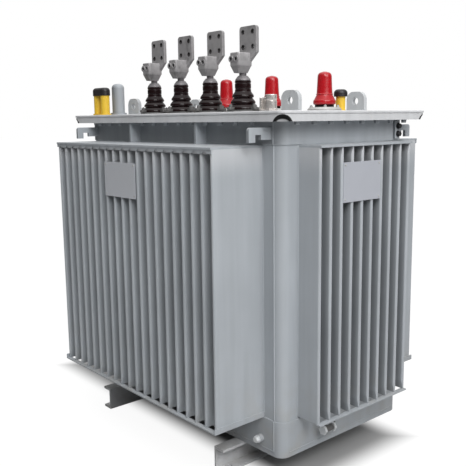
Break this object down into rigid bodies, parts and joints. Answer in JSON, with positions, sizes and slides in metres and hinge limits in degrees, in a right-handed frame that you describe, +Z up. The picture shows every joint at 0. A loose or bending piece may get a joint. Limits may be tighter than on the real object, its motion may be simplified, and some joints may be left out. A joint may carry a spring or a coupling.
{
  "type": "oil-immersed distribution transformer",
  "caption": "Oil-filled power transformer: corrugated grey tank on channel skids, bolted cover with dark low-voltage bushings and red-booted high-voltage bushings.",
  "frame": {"origin": "on the ground under the middle of the tank", "axes": "+X along the tank's long side, -Y towards the low-voltage side, +Z up"},
  "size_m": [1.22, 0.95, 1.371],
  "materials": {
    "tank_paint": "semi-gloss grey paint",
    "cover_paint": "semi-gloss pale grey paint",
    "gasket_rubber": "overpainted edge",
    "zinc_steel": "zinc plated",
    "dark_porcelain": "glazed",
    "terminal_metal": "tinned casting",
    "red_rubber": "satin silicone",
    "polished_metal": "polished",
    "yellow_plastic": "satin",
    "black_plastic": "satin",
    "plate_metal": "satin"
  },
  "bodies": {
    "root": {"tank_floor": "tank_paint", "front_wall": "tank_paint", "back_wall": "tank_paint", "left_wall": "tank_paint", "right_wall": "tank_paint", "front_fins": "tank_paint", "back_fins": "tank_paint", "left_fins": "tank_paint", "right_fins": "tank_paint", "fin_bank_caps": "tank_paint", "fin_bank_rails": "tank_paint", "fin_bank_strips": "tank_paint", "flange_gussets": "tank_paint", "lashing_hooks": "tank_paint", "skids": "tank_paint", "breather": "tank_paint", "flange_long_bars": "cover_paint", "flange_end_bars": "cover_paint", "cover": "cover_paint", "lifting_lugs": "cover_paint", "cover_gasket": "gasket_rubber", "lv_clamp_rings": "zinc_steel", "lv_insulator_1": "dark_porcelain", "lv_terminal_1": "terminal_metal", "lv_insulator_2": "dark_porcelain", "lv_terminal_2": "terminal_metal", "lv_insulator_3": "dark_porcelain", "lv_terminal_3": "terminal_metal", "lv_insulator_4": "dark_porcelain", "lv_terminal_4": "terminal_metal", "lv_caps": "terminal_metal", "hv_flanges": "zinc_steel", "hv_insulators": "dark_porcelain", "hv_boot_1": "red_rubber", "hv_boot_2": "red_rubber", "hv_boot_3": "red_rubber", "oil_gauge": "polished_metal", "thermometer_pocket": "polished_metal", "tap_changer": "yellow_plastic", "tap_changer_cap": "black_plastic", "relief_valve": "yellow_plastic", "relief_valve_cap": "black_plastic", "drain_valve": "zinc_steel", "earth_terminals": "tank_paint", "data_plates": "plate_metal"}
  },
  "joints": []
}
